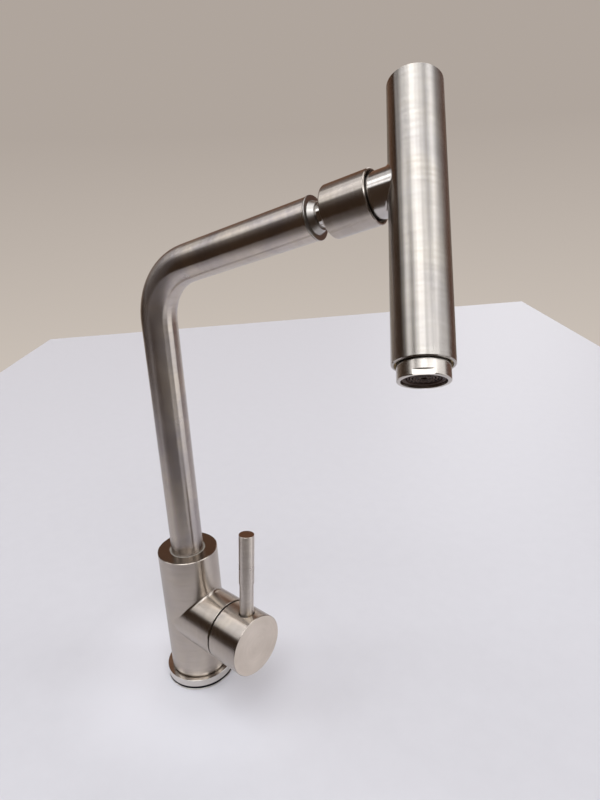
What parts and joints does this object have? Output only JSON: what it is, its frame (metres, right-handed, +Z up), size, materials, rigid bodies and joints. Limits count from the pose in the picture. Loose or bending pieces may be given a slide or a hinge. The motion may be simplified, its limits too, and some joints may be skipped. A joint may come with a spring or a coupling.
{
  "type": "kitchen tap",
  "caption": "Kitchen mixer tap: column with a side pin lever, bent swivel spout and a tubular outlet head on a ball joint.",
  "frame": {"origin": "centre of the tap's underside, on the column axis, where it stands on the worktop", "axes": "+Z up along the column; +X out along the handle branch; the spout at rest points 11.3 degrees from +X towards +Y; the user stands on the -Y side"},
  "size_m": [0.255, 0.1041, 0.4392],
  "materials": {
    "satin_steel": "satin stainless steel, finely brushed",
    "polished_steel": "polished stainless steel",
    "steel_part": "machined steel",
    "brass": "machined brass",
    "black_rubber": "black rubber",
    "white_plastic": "natural white acetal",
    "grey_plastic": "dark grey plastic",
    "ceramic": "lapped white ceramic"
  },
  "bodies": {
    "tap_body": {"foot_ring": "satin_steel", "deck_seal": "black_rubber", "base_gasket": "black_rubber", "base_ring": "polished_steel", "body_shell": "satin_steel", "branch_shell": "satin_steel", "inlet_block": "brass", "waterway_core": "brass", "spout_screw": "steel_part", "top_bush": "grey_plastic", "cartridge_base": "white_plastic", "port_seals": "black_rubber", "fixed_disc": "ceramic", "cartridge_body": "white_plastic", "cartridge_nut": "brass", "cover_ring": "grey_plastic"},
    "lever_carrier": {"stem_carrier": "white_plastic", "stem_pin": "steel_part"},
    "mixing_disc": {"moving_disc": "ceramic", "disc_driver": "grey_plastic"},
    "handle": {"stem": "steel_part", "handle_hub": "brass", "handle_cap": "satin_steel", "handle_rod": "satin_steel", "hub_screw": "steel_part"},
    "spout": {"spout_tube": "satin_steel", "spout_foot": "brass", "spout_seals": "black_rubber", "arm_end_ring": "polished_steel", "ball_stud": "polished_steel"},
    "cage": {"ball_cage": "white_plastic"},
    "collar": {"swivel_collar": "satin_steel", "ball_seal": "black_rubber", "seat_washer": "white_plastic", "collar_nut": "brass"},
    "head": {"swivel_spigot": "brass", "spigot_seal": "black_rubber", "head_shell": "satin_steel", "head_stub": "satin_steel", "head_top_cap": "satin_steel", "head_pipe": "brass", "outlet_adapter": "brass", "aerator_sleeve": "polished_steel", "aerator_insert": "grey_plastic", "aerator_screen": "steel_part", "flow_plate": "white_plastic", "aerator_washer": "black_rubber"}
  },
  "joints": [
    {"name": "spout_swivel", "type": "hinge", "parent": "tap_body", "child": "spout", "pos_m": [0, 0, 0.09], "axis": [0, 0, 1], "continuous": true},
    {"name": "handle_turn", "type": "hinge", "parent": "tap_body", "child": "lever_carrier", "pos_m": [0, 0, 0.0605], "axis": [1, 0, 0], "range_deg": [-44.2, 55.8]},
    {"name": "handle_lift", "type": "hinge", "parent": "lever_carrier", "child": "handle", "pos_m": [0.032, 0, 0.0605], "axis": [0, 0.9949, -0.1011], "range_deg": [0, 22]},
    {"name": "disc_slide", "type": "slide", "parent": "lever_carrier", "child": "mixing_disc", "axis": [0, 0.1011, 0.9949], "range_m": [0, 0.00301]},
    {"name": "ball_turn", "type": "hinge", "parent": "spout", "child": "cage", "pos_m": [0.14066, 0.02811, 0.37093], "axis": [0.9472, 0.1893, 0.2588], "continuous": true},
    {"name": "ball_tilt", "type": "hinge", "parent": "cage", "child": "collar", "pos_m": [0.14066, 0.02811, 0.37093], "axis": [0.1959, -0.9806, 0], "range_deg": [-15, 15]},
    {"name": "head_turn", "type": "hinge", "parent": "collar", "child": "head", "pos_m": [0.1525, 0.03047, 0.37417], "axis": [0.9472, 0.1893, 0.2588], "continuous": true}
  ],
  "couplings": [
    {"joint": "disc_slide", "follows": "handle_lift", "m_per_rad": 0.0078}
  ]
}
